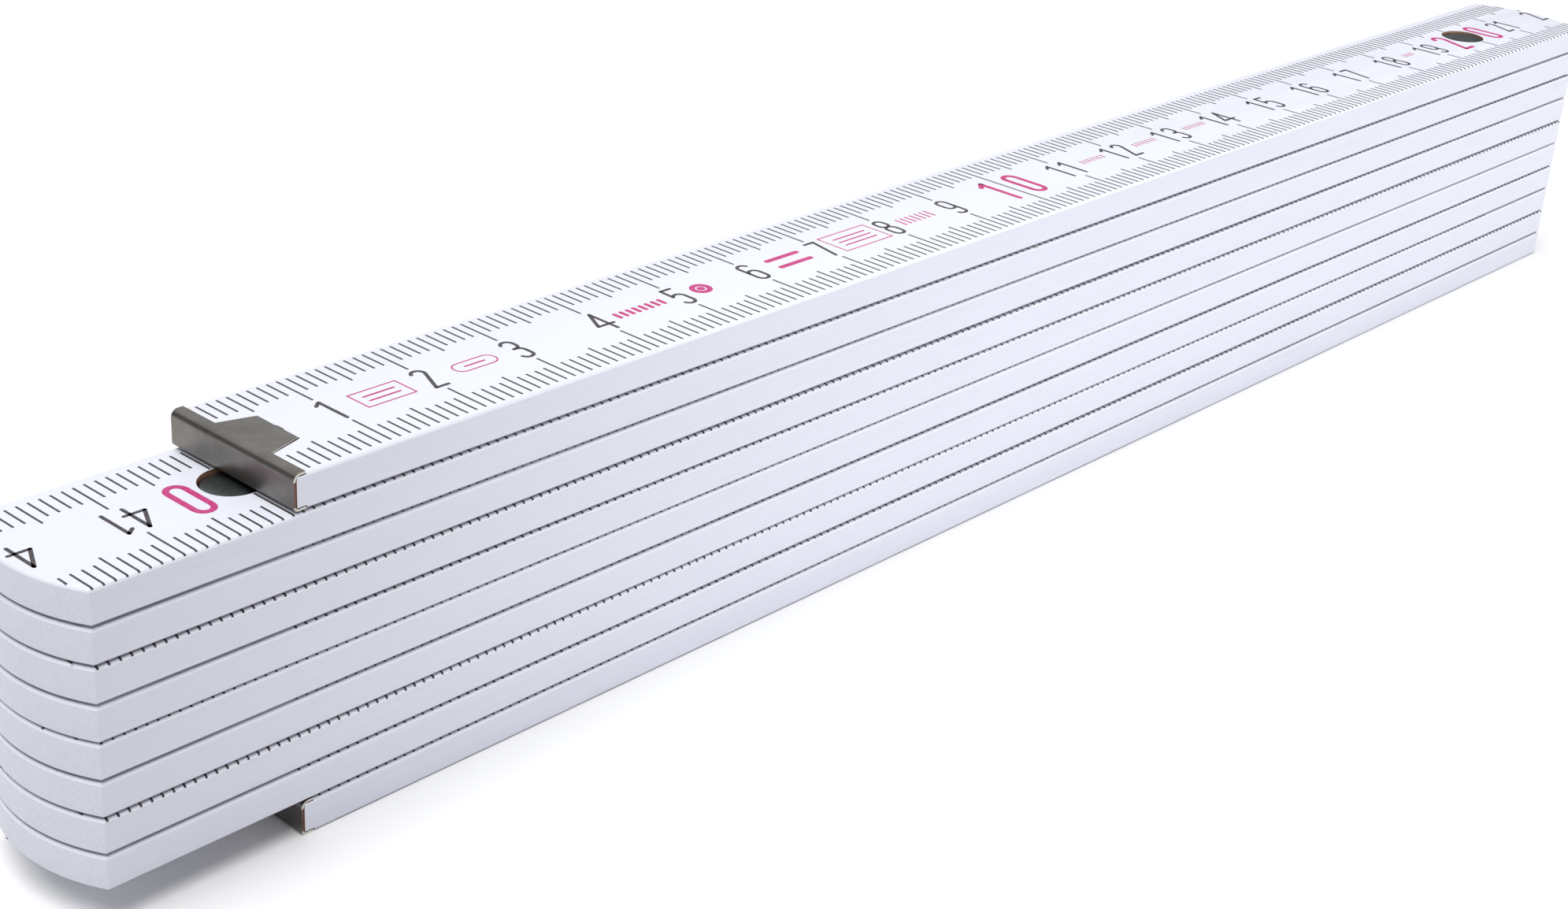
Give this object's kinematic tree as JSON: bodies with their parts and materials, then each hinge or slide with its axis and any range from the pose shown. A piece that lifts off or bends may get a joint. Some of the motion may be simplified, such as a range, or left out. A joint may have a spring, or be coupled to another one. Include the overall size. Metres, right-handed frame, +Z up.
{
  "type": "folding rule",
  "caption": "White-lacquered wooden folding rule, folded up, whose leaves swivel on riveted spring joints, with a folded steel cap at each end of its length.",
  "frame": {"origin": "centre of the folded rule's footprint, on the surface that it rests on", "axes": "+X along the leaves, away from the zero ends; +Y across the leaves; +Z up through the stack, towards the leaf that begins at zero"},
  "size_m": [0.2408, 0.016, 0.0329],
  "materials": {
    "lacquered_wood": "satin",
    "cap_steel": "satin",
    "joint_steel": "satin",
    "rivet_steel": "satin",
    "black_ink": "matte",
    "magenta_ink": "matte"
  },
  "bodies": {
    "section_1": {"leaf_1": "lacquered_wood", "end_cap_1": "cap_steel", "upper_plate_20": "joint_steel"},
    "section_2": {"leaf_2": "lacquered_wood", "lower_plate_20": "joint_steel", "rivet_20": "rivet_steel", "spring_washer_20": "joint_steel", "upper_plate_40": "joint_steel"},
    "section_3": {"leaf_3": "lacquered_wood", "lower_plate_40": "joint_steel", "rivet_40": "rivet_steel", "spring_washer_40": "joint_steel", "upper_plate_60": "joint_steel"},
    "section_4": {"leaf_4": "lacquered_wood", "lower_plate_60": "joint_steel", "rivet_60": "rivet_steel", "spring_washer_60": "joint_steel", "upper_plate_80": "joint_steel"},
    "section_5": {"leaf_5": "lacquered_wood", "lower_plate_80": "joint_steel", "rivet_80": "rivet_steel", "spring_washer_80": "joint_steel", "upper_plate_100": "joint_steel"},
    "section_6": {"leaf_6": "lacquered_wood", "lower_plate_100": "joint_steel", "rivet_100": "rivet_steel", "spring_washer_100": "joint_steel", "upper_plate_120": "joint_steel"},
    "section_7": {"leaf_7": "lacquered_wood", "lower_plate_120": "joint_steel", "rivet_120": "rivet_steel", "spring_washer_120": "joint_steel", "upper_plate_140": "joint_steel"},
    "section_8": {"leaf_8": "lacquered_wood", "lower_plate_140": "joint_steel", "rivet_140": "rivet_steel", "spring_washer_140": "joint_steel", "upper_plate_160": "joint_steel"},
    "section_9": {"leaf_9": "lacquered_wood", "lower_plate_160": "joint_steel", "rivet_160": "rivet_steel", "spring_washer_160": "joint_steel", "upper_plate_180": "joint_steel"},
    "section_10": {"leaf_10": "lacquered_wood", "end_cap_10": "cap_steel", "lower_plate_180": "joint_steel", "rivet_180": "rivet_steel", "spring_washer_180": "joint_steel"}
  },
  "joints": [
    {"name": "joint_20", "type": "hinge", "parent": "section_2", "child": "section_1", "pos_m": [0.1, 0, 0.0296], "axis": [0, 0, 1], "range_deg": [-180, 180]},
    {"name": "joint_40", "type": "hinge", "parent": "section_3", "child": "section_2", "pos_m": [-0.1, 0, 0.0263], "axis": [0, 0, 1], "range_deg": [-180, 180]},
    {"name": "joint_60", "type": "hinge", "parent": "section_4", "child": "section_3", "pos_m": [0.1, 0, 0.023], "axis": [0, 0, 1], "range_deg": [-180, 180]},
    {"name": "joint_80", "type": "hinge", "parent": "section_5", "child": "section_4", "pos_m": [-0.1, 0, 0.0197], "axis": [0, 0, 1], "range_deg": [-180, 180]},
    {"name": "joint_100", "type": "hinge", "parent": "section_6", "child": "section_5", "pos_m": [0.1, 0, 0.0164], "axis": [0, 0, 1], "range_deg": [-180, 180]},
    {"name": "joint_120", "type": "hinge", "parent": "section_7", "child": "section_6", "pos_m": [-0.1, 0, 0.0131], "axis": [0, 0, 1], "range_deg": [-180, 180]},
    {"name": "joint_140", "type": "hinge", "parent": "section_8", "child": "section_7", "pos_m": [0.1, 0, 0.0098], "axis": [0, 0, 1], "range_deg": [-180, 180]},
    {"name": "joint_160", "type": "hinge", "parent": "section_9", "child": "section_8", "pos_m": [-0.1, 0, 0.0065], "axis": [0, 0, 1], "range_deg": [-180, 180]},
    {"name": "joint_180", "type": "hinge", "parent": "section_10", "child": "section_9", "pos_m": [0.1, 0, 0.0032], "axis": [0, 0, 1], "range_deg": [-180, 180]}
  ]
}
